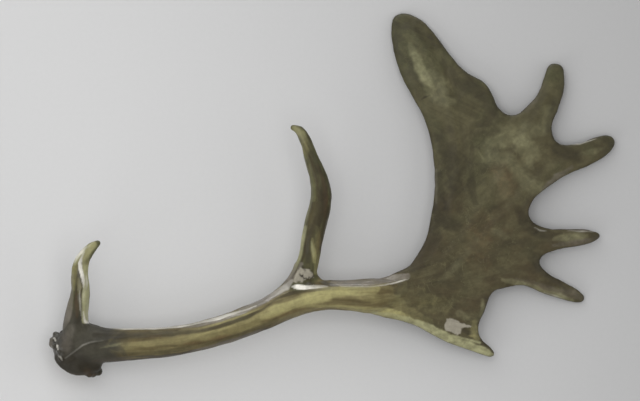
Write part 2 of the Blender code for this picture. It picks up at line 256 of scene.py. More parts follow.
OLIVE_STROKES = (
    # Beam.
    (((-224, -153.5), (-207, -152), (-196, -150.5), (-185, -148), (-175, -146.5), (-164, -146),
      (-154, -145), (-142, -143), (-132, -141)), (2.4, 1.6, 0.6, 1.8, 1.6, 1, 1, 1.8, 2), 4.2, 0.26),
    (((-140, -142), (-128, -141), (-112, -136.5), (-98, -133), (-84, -128.5), (-70, -122)),
     (2, 3, 2.8, 2.6, 2.8, 2.4), 4, 0.46),
    (((-70, -121.5), (-56, -115), (-42, -109.5), (-28, -104.5), (-14, -100.5), (0, -97), (14, -95),
      (28, -95), (44, -94.5)), (1.8, 3.2, 1.8, 4, 4.8, 4.6, 4.2, 3.6, 1.4), 4, 0.84),
    (((-60, -113.5), (-42, -110), (-28, -105), (-14, -99), (0, -95.5), (14, -94.5), (28, -94), (46, -93)),
     (0.3, 0.3, 0.5, 1.8, 2.6, 2.8, 2.4, 1), 3, 1),
    (((-44, -112.5), (-24, -110.5), (-8, -110.5), (12, -111.5), (26, -114), (40, -117)),
     (0.4, 1, 0.7, 0.9, 1.4, 1), 2.2, 0.6),
    (((26, -113.5), (42, -116), (56, -116.5), (68, -120), (80, -124)), (0.5, 1.8, 2.8, 2.4, 0.8), 3, 0.72),
    (((28, -101), (40, -103), (52, -104)), (1.5, 3, 0.5), 5, 0.4),
    (((-133, -133), (-122, -130.5), (-112, -127.5), (-98, -123.5), (-84, -118.5), (-72, -113)),
     (0.1, 0.4, 0.6, 0.6, 0.6, 0.1), 1.4, 0.4),
    # Brow tine.
    (((-238, -49), (-242, -54), (-246, -62)), 2, 2.5, 0.7),
    (((-254, -62), (-257, -74), (-258, -84), (-257.5, -94)), (1.2, 1.4, 1.2, 0.4), 3, 0.5),
    (((-253.5, -84), (-252, -92), (-252.5, -98)), (0.6, 1.4, 0.4), 2, 0.4),
    (((-246, -62), (-246, -71), (-244.5, -80)), 2, 2.5, 0.6),
    # Trez tine.
    (((-19.5, -44), (-18, -54), (-17.5, -66)), (0.3, 1.5, 1), 2.6, 0.62),
    (((-24, 31), (-19, 15), (-18, -2), (-20, -18), (-24, -34)), (0.2, 1, 1.2, 1.4, 0.6), 4, 0.14),
    (((-13, -56), (-14.5, -68), (-15, -77)), (0.5, 1.8, 1.4), 3, 0.5),
    (((-38, 67), (-31, 62), (-27, 54)), (1.4, 2, 1), 4, 0.36),
    (((-28, 54), (-27, 45), (-25, 38)), (1.6, 2, 0.2), 4, 0.36),
    (((-15, -32), (-14, -44), (-15, -56)), (0.4, 1.4, 0.6), 3, 0.3),
    # Palm.
    (((54, -103), (65, -107), (75, -116), (86, -122), (97, -127)), (1.4, 4.4, 4, 3, 1), 5, 0.32),
    (((72, -96), (90, -107), (112, -111)), (3, 6, 4), 8, 0.18),
    (((76, -98), (88, -100), (102, -105), (117, -108)), (0.5, 1.6, 3, 0.4), 4, 0.24),
    # Rear point.
    (((138, -140), (142, -141), (146, -145)), (0.2, 1.2, 0.6), 2, 0.5),
    (((142, -127), (142.5, -136), (147, -143)), (1, 1.6, 1), 3.4, 0.46),
)
# Painted highlights: near white glints on the burr's beads and crest, along the beam's top edge and the
# ridge under the palm, down the brow tine's ridge and facet, at the trez tine's root and along the fingers'
# edges.
PAINTED_HIGHLIGHT_STROKES = (
    # Burr.
    (((-267, -163), (-258, -156.5), (-249, -149.5), (-240, -146.5), (-228, -145)),
     (0.2, 0.3, 0.4, 0.3, 0.1), 1.1, 0.22),
    (((-274, -160), (-271, -162), (-269.5, -165)), (0.3, 0.6, 0.2), 0.9, 0.45),
    (((-274.5, -150), (-274, -154)), 0.4, 0.8, 0.7),
    (((-278, -143), (-276.5, -145.5)), 0.4, 0.8, 0.7),
    # Beam.
    (((-232, -131), (-220, -132.5), (-207, -133.5), (-194, -133.5), (-177, -133.5), (-165, -132.5),
      (-154, -131.5), (-142, -129.5)), (0.2, 0.4, 0.4, 0.4, 0.4, 0.4, 0.5, 0.3), 0.9, 0.8),
    (((-144, -130), (-133, -127.5), (-122, -125), (-112, -122.5), (-103, -119.5), (-95, -117),
      (-86, -114.5), (-76, -110.5)), (0.1, 0.4, 0.8, 1.3, 1, 0.5, 0.2, 0.1), 1.1, 0.95),
    (((9, -91), (23, -91), (40, -91), (53, -89.5), (61, -88), (70, -85.5), (77, -83.5)),
     (0.1, 0.2, 0.2, 0.3, 0.4, 0.4, 0.1), 0.9, 0.6),
    (((56, -83), (62, -81.5), (69, -80)), (0.3, 1.2, 0.3), 2, 0.2),
    # Brow tine.
    (((-247, -56), (-249.5, -62), (-251.5, -68), (-251, -74), (-249.5, -80), (-248.5, -86), (-248, -92)),
     (0.1, 0.5, 1.4, 1.6, 1.4, 0.9, 0.1), 1.1, 1),
    (((-246, -54), (-241, -49), (-236, -46)), (0.1, 0.3, 0.1), 1, 0.25),
    (((-252, -95), (-251.5, -104), (-251.5, -114), (-250.5, -121)), (0.1, 0.4, 0.3, 0.1), 1, 0.4),
    (((-247.5, -92), (-248, -99), (-248.5, -106)), (0.3, 0.8, 0.3), 1.4, 0.2),
    (((-245.5, -80), (-245, -87), (-245.5, -94)), (0.2, 0.8, 0.2), 1.4, 0.5),
    (((-248.5, -116), (-248, -121), (-246.5, -126), (-243.5, -127.5)), (0.1, 0.5, 1.1, 0.3), 1, 0.95),
    (((-245, -51), (-250, -56), (-254.5, -61), (-257, -67)), (0.3, 1.3, 1.3, 0.3), 1.6, 0.7),
    # Trez tine.
    (((-62, -102), (-53, -96), (-45, -91.5), (-40, -86)), (0.2, 1.6, 2.6, 1), 2.4, 0.42),
    (((-39, -91.5), (-35, -91.5), (-27, -92), (-18, -91.5), (-10, -91), (-4, -91)),
     (0.6, 1.9, 1.9, 1.1, 0.6, 0.1), 0.9, 1),
    # Lobe and fingers.
    (((230, 51), (248, 51.5), (264, 56.5)), (0.1, 0.4, 0.1), 0.9, 0.6),
    (((202, -32), (208, -35), (215, -36)), (0.1, 0.3, 0.1), 0.9, 0.35),
    (((236, -35.5), (250, -36), (264, -36.5)), (0.1, 0.4, 0.1), 0.9, 0.4),
    (((212, -97), (222, -100.5), (233, -104)), (0.1, 0.4, 0.1), 1.2, 0.3),
)
# Grey strokes: mostly painted reflection and sheen of the pale surroundings, on the beam's upper facet and
# along its edges, at the trez tine's root and on the fingers, with a painted lit edge on the burr and the
# palm; partly the grey colour of the foot and of the brow tine's left side.
GREY_AND_SHEEN_STROKES = (
    # Burr.
    (((-266, -152), (-265, -142), (-262, -134)), (2.5, 3, 2), 6, 0.42),
    (((-281.5, -141), (-281, -152)), 1, 2, 0.6),
    # Beam.
    (((1, -88), (23, -87.5), (43, -86), (58, -83.5), (75, -80.5)), (2.4, 2.4, 2.4, 2.6, 2.2), 1.4, 0.9),
    (((-150, -131.5), (-135, -130.5), (-124, -128), (-112, -125), (-98, -120.5), (-86, -116)),
     (0.2, 0.8, 1, 1, 1, 1), 1.6, 0.7),
    (((-90, -116), (-70, -105.5), (-57, -99), (-48, -93), (-42, -86)), 2.2, 2, 0.95),
    (((-140, -156), (-127, -153), (-113, -149.5), (-99, -145), (-84, -140), (-72, -134.5)),
     (0.3, 0.9, 1.1, 1, 0.8, 0.3), 1.8, 0.65),
    # Brow tine.
    (((-268, -132), (-265, -125), (-263.5, -118), (-262, -110), (-260.5, -102), (-259.5, -92),
      (-259, -80)), (0.6, 2, 2.4, 2, 1.4, 0.7, 0.3), 2.2, 0.8),
    # Trez tine.
    (((-39, -85), (-34, -77), (-31, -69)), 1, 2, 0.7),
    (((-47, -90), (-43, -83), (-39, -76), (-36, -68)), (1.4, 2, 1.6, 0.4), 2.4, 0.9),
    # Palm.
    (((104, 26), (103.5, 8), (104, -8)), (0.3, 0.8, 0.3), 1.6, 0.6),
    # Lobe and fingers.
    (((196, 84), (202, 96), (208, 112), (213, 128)), (1, 2, 2, 0.6), 4, 0.28),
    (((240, 28), (224, 17), (212, 4), (205, -9)), (0.6, 1.8, 1.8, 0.4), 3.4, 0.5),
    (((222, -50), (240, -48), (256, -46), (268, -43)), (0.5, 1.8, 1.6, 0.6), 3, 0.4),
    (((184, -84), (206, -90), (228, -97), (242, -99), (250, -104)), (0.3, 1, 2, 2.4, 1), 4, 0.34),
)
# Dark strokes: the crack at the trez tine's root and a few stains and scratches are the bone's own; most
# others are painted shade, under the burr and its crest, along the beam's lower side and beside its painted
# highlights, on the tines' shaded sides, in the palm's notches and in the rear point's dent.
DARK_AND_SHADE_STROKES = (
    # Burr.
    (((-277, -164), (-271, -168), (-264, -170)), (1.5, 3, 3), 3, 0.5),
    (((-271, -164), (-265, -166), (-259, -162.5)), 2, 2.5, 0.8),
    (((-248, -172), (-240, -174.5), (-233, -175)), 3, 5, 0.9),
    # Beam.
    (((-232, -133.5), (-218, -137), (-207, -139), (-196, -139)), (0.5, 2, 1.6, 0.6), 2.4, 0.5),
    (((-238, -140), (-222, -140.5), (-207, -141), (-196, -140.5), (-182, -139), (-172, -138.5),
      (-160, -138), (-148, -136.5), (-133, -136)), (1, 2, 1.8, 1.8, 1.5, 1.7, 1.9, 1.2, 0.4), 2.4, 0.7),
    (((-136, -136.5), (-126, -134.5), (-112, -130.5), (-98, -126.5), (-84, -121.5), (-70, -114.5),
      (-56, -104), (-49, -101), (-42, -98.5), (-30, -96)),
     (0.4, 0.8, 1, 1.1, 1.1, 0.4, 0.2, 0.5, 1.2, 0.4), 1.6, 0.74),
    (((-190, -144.5), (-182, -143.5), (-175, -141)), (0.1, 0.4, 0.1), 1, 0.4),
    (((-177, -150.5), (-166, -150), (-154, -150)), (0.1, 0.5, 0.1), 1.2, 0.4),
    (((-224, -161), (-196, -158.5), (-168, -157), (-140, -151)), 1.2, 3, 0.4),
    (((-140, -151), (-112, -145.5), (-84, -137), (-70, -131), (-56, -124)), 1.2, 2.8, 0.45),
    (((2, -103.5), (15, -106), (28, -106.5), (36, -107)), (0.4, 1.4, 1.4, 0.4), 3, 0.22),
    # Brow tine.
    (((-249.5, -108), (-249.5, -116), (-249, -122)), (0.1, 0.2, 0.1), 0.8, 0.4),
    (((-255, -96), (-255, -108), (-255, -126)), (0.3, 1.8, 1.8), 3, 0.42),
    # Trez tine.
    (CRACK, 0.25, 0.7, 0.9),
    (((-12, -87), (-7, -88), (-1, -89.5), (6, -90.5)), (0.4, 1.4, 1.2, 0.3), 1.6, 0.8),
    (((-29, -88), (-24, -88), (-18, -88.5)), 0.4, 1, 0.4),
    (((-36, -96), (-28, -96), (-14, -94.5), (-2, -93)), 0.5, 1.3, 0.45),
    (((-30, -71), (-27, -75)), 0.5, 1, 0.6),
    (((-23, -73), (-20, -77)), 0.5, 1, 0.5),
    (((-20, 42), (-16, 31), (-10.5, 19), (-8.5, 7), (-8.5, -5), (-10.5, -17), (-13.5, -29), (-16, -38)),
     (0.2, 1, 1.2, 1.4, 1.4, 1.2, 0.8, 0.2), 4, 0.6),
    (((-22, -42), (-24, -54), (-24, -66)), (0.2, 0.8, 1.4), 2.6, 0.5),
    # Palm.
    (((89, -99), (98, -103)), 2, 3, 0.3),
    (((138, 112), (148, 102), (156, 94), (162, 86)), 3, 8, 0.42),
    (((106, 58), (114, 46), (121, 32), (122, 12)), (1, 4, 5, 5), 8, 0.56),
    (((128, 80), (133, 52), (131, 26), (128, 4)), (0.6, 1.4, 1.8, 0.8), 5, 0.3),
    (((139, 62), (140, 40), (139, 20), (140, 6), (144, -8)), (0.3, 0.8, 1.4, 2.4, 1), 4, 0.5),
    (((125, 24), (129, 15)), 2, 5, 0.3),
    (((106, 18), (107, -6), (110, -26), (124, -30)), (2, 3.4, 5, 3.4), 7, 0.7),
    (((134, -45), (142, -50), (150, -56)), (0.6, 2, 0.6), 5, 0.24),
    (((164, -70), (172, -77)), 1.5, 4, 0.24),
    (((98, -27), (102, -34), (106, -42)), (2, 4, 2), 5, 0.62),
    (((107, -14), (103, -40), (95, -57), (84, -71)), 3, 9, 0.36),
    # Lobe and fingers.
    (((89, 95.5), (92, 98), (98, 100)), (0.1, 0.5, 0.1), 1.2, 0.6),
    (((84, 166), (90, 157), (94, 150), (99, 148), (102, 153), (98, 160)), 0.8, 3.5, 0.3),
    (((64, 172), (62, 158), (64, 142), (70, 124)), 0.5, 4, 0.25),
    (((112, 132), (118, 122), (126, 114), (138, 108)), (0.6, 2.6, 3, 1), 6, 0.36),
    (((222, 92), (217, 76), (216, 64)), 0.6, 3, 0.35),
    (((226, 47), (234, 42), (245, 39)), 3, 6, 0.5),
    (((220, 67), (222, 57), (228, 50)), 0.6, 2, 0.5),
    (((273, 56), (280, 51)), 1.2, 3, 0.35),
    (((188, -16), (194, -28), (206, -35), (218, -40)), (2, 3, 3.4, 2), 6, 0.6),
    (((202, -38), (216, -40.5), (230, -38)), 0.5, 1.6, 0.45),
    (((262, -42), (268, -41)), 1.2, 3, 0.35),
    (((194, -56), (202, -61), (210, -66)), (1, 3, 1.5), 5, 0.5),
    (((204, -69), (215, -78), (228, -88), (238, -96)), (2, 2, 1.4, 0.4), 4, 0.36),
    # Rear point.
    (((78, -117), (91, -122.5), (102, -129), (110, -133.5)), (0.1, 0.4, 0.4, 0.1), 2.4, 0.22),
    (((131, -135), (136, -137.5), (139, -136.5)), (0.6, 1.4, 0.6), 1.6, 0.45),
    (((146, -139), (150, -144), (153, -148)), 0.6, 1.4, 0.4),
)
WARM_STROKES = (
    # Burr.
    (((-245, -176), (-239, -178)), 1.5, 3.5, 0.5),
    # Beam.
    (((-124, -144), (-112, -142), (-101, -139.5)), (0.3, 1.4, 0.3), 2.6, 0.5),
    (((-187, -142), (-179, -140.5), (-170, -140)), (0.2, 0.8, 0.2), 2, 0.4),
    (((-148, -148), (-137, -148), (-126, -146)), (0.2, 1, 0.2), 2, 0.4),
    (((-70, -126), (-47, -118), (-27, -113)), (0.2, 0.6, 0.2), 2.5, 0.35),
    # Brow tine.
    (((-255, -98), (-255, -110), (-255, -122)), (0.2, 0.8, 0.3), 2.4, 0.5),
    # Trez tine.
    (((-12, -36), (-13, -48), (-15, -58)), (0.2, 0.8, 0.2), 2.5, 0.35),
    (((-15, 30), (-8, 10), (-6, -6), (-8, -22)), (0.2, 0.8, 0.8, 0.2), 3, 0.4),
    # Palm.
    (((167, 25), (175, 17), (173, 7)), 3, 10, 0.22),
    (((150, -30), (146, -60)), 3, 18, 0.16),
)
GLOSS_STROKES = (
    # Burr.
    (((-281, -138), (-279, -148), (-276, -153)), 6, 4, 0.6),
    # Beam.
    (((-182, -133), (-132, -127.5), (-112, -122.5), (-87, -115), (-42, -91), (-2, -90), (34, -89)),
     (1, 1.6, 2, 2, 3, 2.4, 2), 2.6, 1),
    (((30, -89), (66, -85)), 3, 4, 0.4),
    # Brow tine.
    (((-243, -55), (-248, -62), (-251, -73), (-249, -85), (-249, -105), (-247, -126)), 3, 2.5, 1),
    # Trez tine.
    (((-32, 60), (-21, 30), (-16, -5), (-24, -60)), 4, 5, 0.35),
)

# Patches scraped pale at the rear point and the trez tine's root: their outlines seen from above.
SCRAPES = (
    ((112.5, -131), (113, -127.5), (115, -124), (118.5, -122.5), (124, -123.5), (128, -127),
     (134, -129.5), (140, -131.5), (133, -132), (129.5, -133.5), (128, -138), (125.5, -140),
     (120.5, -138), (114.5, -135)),
    ((-32, -72), (-27, -73), (-22, -75), (-19, -78.5), (-19, -82), (-25, -83.5), (-29, -87), (-38, -86.5),
     (-36.5, -80), (-35.5, -76)),
)
STROKES = {
    "pale": PALE_AND_HIGHLIGHT_STROKES, "olive": OLIVE_STROKES, "painted_highlight": PAINTED_HIGHLIGHT_STROKES, "grey": GREY_AND_SHEEN_STROKES,
    "dark_and_shade": DARK_AND_SHADE_STROKES, "warm": WARM_STROKES, "gloss": GLOSS_STROKES,
}

# How each layer of strokes is laid on: its strength, how far the streaks thin and thicken it, and
# how quickly it fades.
LAYERS = {
    "olive": (0.95, 0.7, 1.25, 1.2),
    "pale": (0.95, 0.85, 1.15, 1.2),
    "warm": (0.9, 0.6, 1.2, 1),
    "grey": (0.95, 0.8, 1.1, 1.3),
    "dark_and_shade": (1, 0.7, 1.2, 1),
    "painted_highlight": (1, 0.85, 1.1, 1.4),
}

# Colours as a screen shows them, 0 to 255.
COLOURS = {
    "palm_green": (80, 79, 54), "palm_brown": (78, 69, 48),
    "palm_dark": (58, 53, 38), "palm_pale": (101, 96, 69),
    "beam": (124, 114, 78), "beam_brown": (98, 87, 56), "beam_pale": (138, 130, 92),
    "tine": (88, 87, 58), "tine_brown": (68, 61, 40), "foot": (70, 67, 56), "burr": (54, 50, 41),
    # Near white is a painted highlight, the grey partly a painted reflection, the darkest brown partly
    # painted shade, and the browns for the beam's under side and the palm's rim are painted shade.
    "pale": (172, 170, 130), "olive": (177, 170, 117), "painted_highlight": (252, 248, 236), "grey": (130, 123, 112),
    "dark_and_shade": (44, 39, 28), "warm": (100, 72, 48), "scrape": (160, 154, 138), "under": (64, 56, 42),
    "rim_shade": (48, 44, 34), "seal": (150, 134, 108),
    # The floor card turns darker to the right: painted shade.
    "left_card": (221, 221, 221), "left_speckle": (224, 224, 224),
    "right_card": (184, 184, 184), "right_speckle": (187, 187, 187),
}

# Patterns: size of their cells, detail, roughness and warp. Those that follow the grain start with
# how they are squeezed along it.
PATTERNS = {
    "clouds": (45, 3, 0.55, 0.4),
    "blotches": (18, 3, 0.55, 0.8),
    "scuffs": (16, 4, 0.6, 0.9),
    "mottle": (8, 3, 0.55, 0.5),
    "specks": (3, 2, 0.5, 0),
}
GRAIN_PATTERNS = {
    "veils": (0.25, 13, 3, 0.5, 0.6),
    "streaks": (0.1, 6, 3, 0.55, 0.3),
    "fine_streaks": (0.09, 1.8, 3, 0.55, 0),
}
FLOOR_SPECKLE = (4, 2, 0.55, 0)
USUAL_NOISE = (0.3, 0.7)

# Tones over each ground colour: the pattern they follow, its values where they start and are full,
# their strength and colour.
PALM_TONES = (
    ("veils", 0.48, 0.7, 0.5, "palm_pale"),
    ("veils", 0.5, 0.3, 0.5, "palm_dark"),
    ("blotches", 0.52, 0.72, 0.4, "palm_pale"),
    ("blotches", 0.48, 0.28, 0.4, "palm_dark"),
)
BEAM_TONES = (("streaks", 0.34, 0.62, 1, "beam"), ("veils", 0.5, 0.72, 0.5, "beam_pale"))
TINE_TONES = (("streaks", 0.36, 0.6, 1, "tine"),)

# Where up the frame the palm turns green, how near the middle of their noise its scuffs lie, and how
# strongly the colours of places, of wear and of painted shade cover it.
UPPER_PALM = (-60, 100)
SCUFF_LINES = (0.014, 0.002)
COVERS = {"burr": 0.85, "under": 0.9, "scrape": 0.95, "rim_shade": 0.75, "hollow_shade": 0.75, "seal": 0.8}

# Finish: roughness, of the seal and the glossy strokes too, varnish, and shares of the fine bumps.
ROUGHNESS = (0.44, 0.58)
SEAL_ROUGHER = 0.3
GLOSS_ROUGHNESS = 0.3
COAT = (0.02, 0.8)
COAT_ROUGHNESS = 0.16
SPECULAR = 0.3
BUMPS = {"fine_streaks": 0.4, "specks": 0.35, "streaks": 0.5}
BUMP_STRENGTH = 0.3
BUMP_HEIGHT = 0.5

# Sockets of a Mix node that share their names with others: its colours and its mixed colour.
MIX_COLOURS = (6, 7)
MIXED_COLOUR = 2

# Studio: the floor and the way it darkens, the light from all round, and the camera, one millimetre
# at the antler's middle height to a pixel of the photo.
FLOOR_SIZE = 9000
FLOOR_GAP = 0.6
FLOOR_WAY = (1, 0.35, 0)
FLOOR_TURN = (-300, 500)
FLOOR_ROUGHNESS = 0.9
WORLD_STRENGTH = 0.27
SENSOR = 36
FOCAL_LENGTH = 900
PHOTO_WIDTH = 640
PHOTO_MIDDLE = (-12.05, -5.23)
SHARP_HEIGHT = 38
FAR_CLIP = 100_000

# Softboxes: place, target, size, power in watts, and the rays that don't see them.
LAMPS = {
    "overhead_softbox": ((0, 0, 2600), (0, 0, 0), (1800, 1800), 24, ("camera", "glossy")),
    "upper_left_softbox": ((-900, 1500, 1700), (0, 0, 0), (2400, 2400), 18.5, ("camera",)),
    "right_softbox": ((1700, -200, 1300), (0, 0, 0), (1500, 1500), 5, ("camera",)),
    "lower_left_softbox": ((-1300, -1300, 1200), (0, 0, 0), (1600, 1600), 8, ("camera",)),
    "top_strip": ((-200, 1300, 150), (-100, 0, 40), (1600, 160), 5, ("camera", "diffuse")),
}


def nearest_on_line(points, line):
    """Each point's distance to a line of points, how far along it is, and its foot."""
    line = np.array(line, dtype=float)
    best = np.full(len(points), np.inf)
    along = np.zeros(len(points))
    foot = np.zeros((len(points), line.shape[1]))
    before = 0.0
    for start, end in zip(line[:-1], line[1:]):
        step = end - start
        length = np.linalg.norm(step)
        share = np.clip((points - start) @ step / length**2, 0, 1)
        here = start + share[:, None] * step
        distance = np.linalg.norm(points - here, axis=1)
        closer = distance < best
        best[closer] = distance[closer]
        along[closer] = before + share[closer] * length
        foot[closer] = here[closer]
        before += length
    return best, along, foot


def distance_to(points, line):
    """Each point's distance to a line of points."""
    return nearest_on_line(points, line)[0]


def lengths_of(line):
    """The length of each stretch of a line of points."""
    return np.linalg.norm(np.diff(np.array(line, dtype=float), axis=0), axis=1)


def eased(value, low, high):
    """0 below low, 1 above high, and smooth between."""
    share = np.clip((value - low) / (high - low), 0, 1)
    return share * share * (3 - 2 * share)


def noise(points, seed):
    """Smooth noise between about -1 and 1, one cell to a unit."""
    cell = np.floor(points).astype(np.int64)
    part = points - cell
    ease = part**3 * (part * (part * 6 - 15) + 10)
    total = np.zeros(len(points))
    for corner in itertools.product((0, 1), repeat=3):
        key = (cell + corner) @ np.array(HASH_STEPS) + seed * HASH_SEED
        key = (key ^ (key >> 13)) * HASH_FACTOR & HASH_LIMIT
        slopes = np.stack([(key >> shift) % 1024 / 511.5 - 1 for shift in SLOPE_SHIFTS], axis=1)
        weight = np.prod(np.where(corner, ease, 1 - ease), axis=1)
        total += weight * np.sum(slopes * (part - corner), axis=1)
    return total * NOISE_SWING


def layered(points, layers, seed):
    """Noise with finer and fainter noise on it."""
    total = np.zeros(len(points))
    for layer in range(layers):
        total += noise(points * 2**layer + LAYER_SHIFT * layer, seed + layer) / 2**layer
    return total


def put_object(name, data):
    """A new object in the scene."""
    thing = bpy.data.objects.new(name, data)
    bpy.context.scene.collection.objects.link(thing)
    return thing


def mesh_of(shape, name):
    """A finished shape as a mesh."""
    mesh = bpy.data.meshes.new(name)
    shape.to_mesh(mesh)
    shape.free()
    return mesh


def pearls():
    """Small balls strewn over the under side of the burr's ring."""
    shape = bmesh.new()
    chance = np.random.default_rng(PEARL_SEED)
    ahead = Vector(BURR_FACING).normalized()
    side = Vector(BURR_RIGHT).normalized()
    turn = Matrix((side, ahead.cross(side), ahead)).transposed().to_4x4()
    place = Matrix.Translation(Vector(BURR_CENTRE) * MM) @ turn
    for index in range(PEARL_COUNT):
        degrees = 360 * (index + chance.uniform(*PEARL_SHIFT)) / PEARL_COUNT
        size = chance.uniform(*PEARL_SIZES)
        out = BURR_RADIUS + chance.uniform(*PEARL_OUT)
        lift = chance.uniform(*PEARL_LIFT)
        if not PEARL_ARC[0] < degrees < PEARL_ARC[1]:
            continue
        angle = math.radians(degrees)
        centre = Vector((math.cos(angle) * out, math.sin(angle) * out, lift)) * MM
        at = place @ Matrix.Translation(centre)
        bmesh.ops.create_icosphere(shape, subdivisions=2, radius=size * MM, matrix=at)
    return mesh_of(shape, "pearls")


def swollen_solids():
    """The solids joined in one mesh and swollen, with the pearls."""
    shape = bmesh.new()
    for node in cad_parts.values():
        shape.from_mesh(node.data)
    bmesh.ops.remove_doubles(shape, verts=shape.verts, dist=WELD * MM)
    shape.normal_update()
    for vertex in shape.verts:
        vertex.co += vertex.normal * SWELL * MM
    beads = pearls()
    shape.from_mesh(beads)
    bpy.data.meshes.remove(beads)
    return mesh_of(shape, "swollen")


def one_skin(mesh):
    """The outer skin of the mesh in even cells."""
    thing = put_object("skin", mesh)
    cells = thing.modifiers.new("Cells", "REMESH")
    cells.mode = "VOXEL"
    cells.voxel_size = CELL * MM
    bpy.context.view_layer.update()
    evaluated = thing.evaluated_get(bpy.context.evaluated_depsgraph_get())
    skin = bpy.data.meshes.new_from_object(evaluated)
    bpy.data.objects.remove(thing)
    bpy.data.meshes.remove(mesh)
    return skin


def vectors(items, field):
    """The vectors that a mesh's items hold, one row each."""
    flat = np.zeros(len(items) * 3, np.float32)
    items.foreach_get(field, flat)
    return flat.reshape(-1, 3)


def places_of(mesh):
    """The mesh's corners in millimetres, one row each."""
    return vectors(mesh.vertices, "co").astype(float) / MM


def set_places(mesh, places):
    """Move the mesh's corners to places in millimetres."""
    mesh.vertices.foreach_set("co", (places * MM).astype(np.float32).ravel())
    mesh.update()


def normals_of(mesh):
    """The way the skin faces at each of the mesh's corners."""
    return vectors(mesh.vertices, "normal").astype(float)


def smoothed(mesh, places, passes, share):
    """The places after rounds of pulls towards their neighbours and back out."""
    ends = np.zeros(len(mesh.edges) * 2, np.int32)
    mesh.edges.foreach_get("vertices", ends)
    first, second = ends.reshape(-1, 2).T
    count = len(places)
    neighbours = np.bincount(first, minlength=count) + np.bincount(second, minlength=count)
    for strength in (SMOOTHING_IN, SMOOTHING_OUT) * passes:
        pull = np.empty_like(places)
        for axis in range(3):
            total = np.bincount(first, places[second, axis], count)
            total += np.bincount(second, places[first, axis], count)
            pull[:, axis] = total / neighbours - places[:, axis]
        places = places + strength * share[:, None] * pull
    return places


def from_burr(places):
    """Each place's distance from the burr's centre."""
    return np.linalg.norm(places - BURR_CENTRE, axis=1)


def grain_on(places, line):
    """Distance to a round part's middle line, and millimetres along and across it."""
    distance, along, foot = nearest_on_line(places, line)
    across = places - foot
    return distance, np.stack([along, across[:, 1] + across[:, 0] * GRAIN_SLANT, across[:, 2]], 1)


def beam_grain(places):
    """Coordinates that run along the beam and fan out through the palm."""
    _, grain = grain_on(places, BEAM_LINE)
    offset = places - PALM_ROOT
    reach = np.hypot(offset[:, 0], offset[:, 1])
    bearing = np.arctan2(offset[:, 1], offset[:, 0])
    fan = np.stack([reach + FAN_START, bearing * FAN_WIDTH, offset[:, 2]], 1)
    share = palm_share(places)[:, None]
    return grain * (1 - share) + fan * share


def tine_grain(places):
    """Coordinates that run along the nearer of the two tines."""
    brow_distance, brow = grain_on(places, BROW_LINE)
    trez_distance, trez = grain_on(places, TREZ_LINE)
    return np.where((brow_distance < trez_distance)[:, None], brow, trez)


def tine_share(places):
    """1 on the brow and trez tines, 0 on the beam and palm, and smooth at their roots."""
    from_tine = np.minimum(distance_to(places, BROW_LINE), distance_to(places, TREZ_LINE))
    return eased(distance_to(places, BEAM_LINE) - from_tine, 0, TINE_ROOT)


def palm_share(places):
    """0 on the beam, 1 on the palm, and smooth between."""
    return eased(places[:, 0] + PALM_BOW * np.abs(places[:, 1] - PALM_ROOT[1]), *PALM_TURN)


def crest_height(places, up):
    """Height of the crisp crests on the upper side."""
    height = np.zeros(len(places))
    for line, rise, half_width in CRESTS:
        distance, along, _ = nearest_on_line(places[:, :2], line)
        ends = eased(along, 0, CREST_START) * eased(np.sum(lengths_of(line)) - along, 0, CREST_END)
        height += rise * ends * np.clip(1 - distance / half_width, 0, 1) ** 2 * up
    return height


def spot(places, at, half_lengths, degrees):
    """Distance from a spot's centre, 1 at its edge, for an oval seen from above."""
    turn = math.radians(degrees)
    dx = places[:, 0] - at[0]
    dy = places[:, 1] - at[1]
    along = dx * math.cos(turn) + dy * math.sin(turn)
    across = dy * math.cos(turn) - dx * math.sin(turn)
    return np.hypot(along / half_lengths[0], across / half_lengths[1])


def furrow_depth(grain, seed):
    """Depth of the furrows that run along a round part."""
    furrows = 1 - np.abs(layered(grain / FURROW_SIZE, 2, seed)) * FURROW_SHARPNESS
    return FURROW_DEPTH * np.clip(furrows, 0, 1) ** 2


def relief(places, normals):
    """How far each place moves outwards, in millimetres."""
    up = eased(normals[:, 2], *RELIEF_SIDE)
    palm = palm_share(places)
    tine = tine_share(places)
    grain = beam_grain(places)
    height = LUMP_HEIGHT * layered(places / LUMP_SIZE, 2, seed=1)
    furrows = furrow_depth(grain, seed=5) * (1 - tine)
    furrows += furrow_depth(tine_grain(places), seed=6) * tine
    height -= furrows * eased(from_burr(places), *FURROW_START) * (1 - FURROW_LOSS_ON_PALM * palm)
    veins = 1 - np.abs(noise(grain / VEIN_SIZE, seed=9)) * VEIN_SHARPNESS
    height -= VEIN_DEPTH * eased(veins, 0, 1) * palm
    height += crest_height(places, up)
    for at, half_lengths, degrees, depth in DENTS:
        height -= depth * up * (1 - eased(spot(places, at, half_lengths, degrees), *DENT_SLOPE))
    from_crack = distance_to(places[:, :2], CRACK)
    height -= CRACK_DEPTH * up * (1 - eased(from_crack, 0, CRACK_WIDTH))
    pits = np.abs(layered(places / PIT_SIZE, 2, seed=21))
    height -= PIT_DEPTH * seal_share(places, normals) * pits
    return height


def seal_share(places, normals):
    """1 on the scar under the burr and 0 elsewhere."""
    facing = np.array(Vector(BURR_FACING).normalized())
    offset = places - BURR_CENTRE
    lift = offset @ facing
    out = np.linalg.norm(offset - lift[:, None] * facing, axis=1)
    turned = eased(normals @ facing, *SEAL_TURN)
    return turned * eased(lift, *SEAL_HEIGHT) * (1 - eased(out, *SEAL_EDGE))


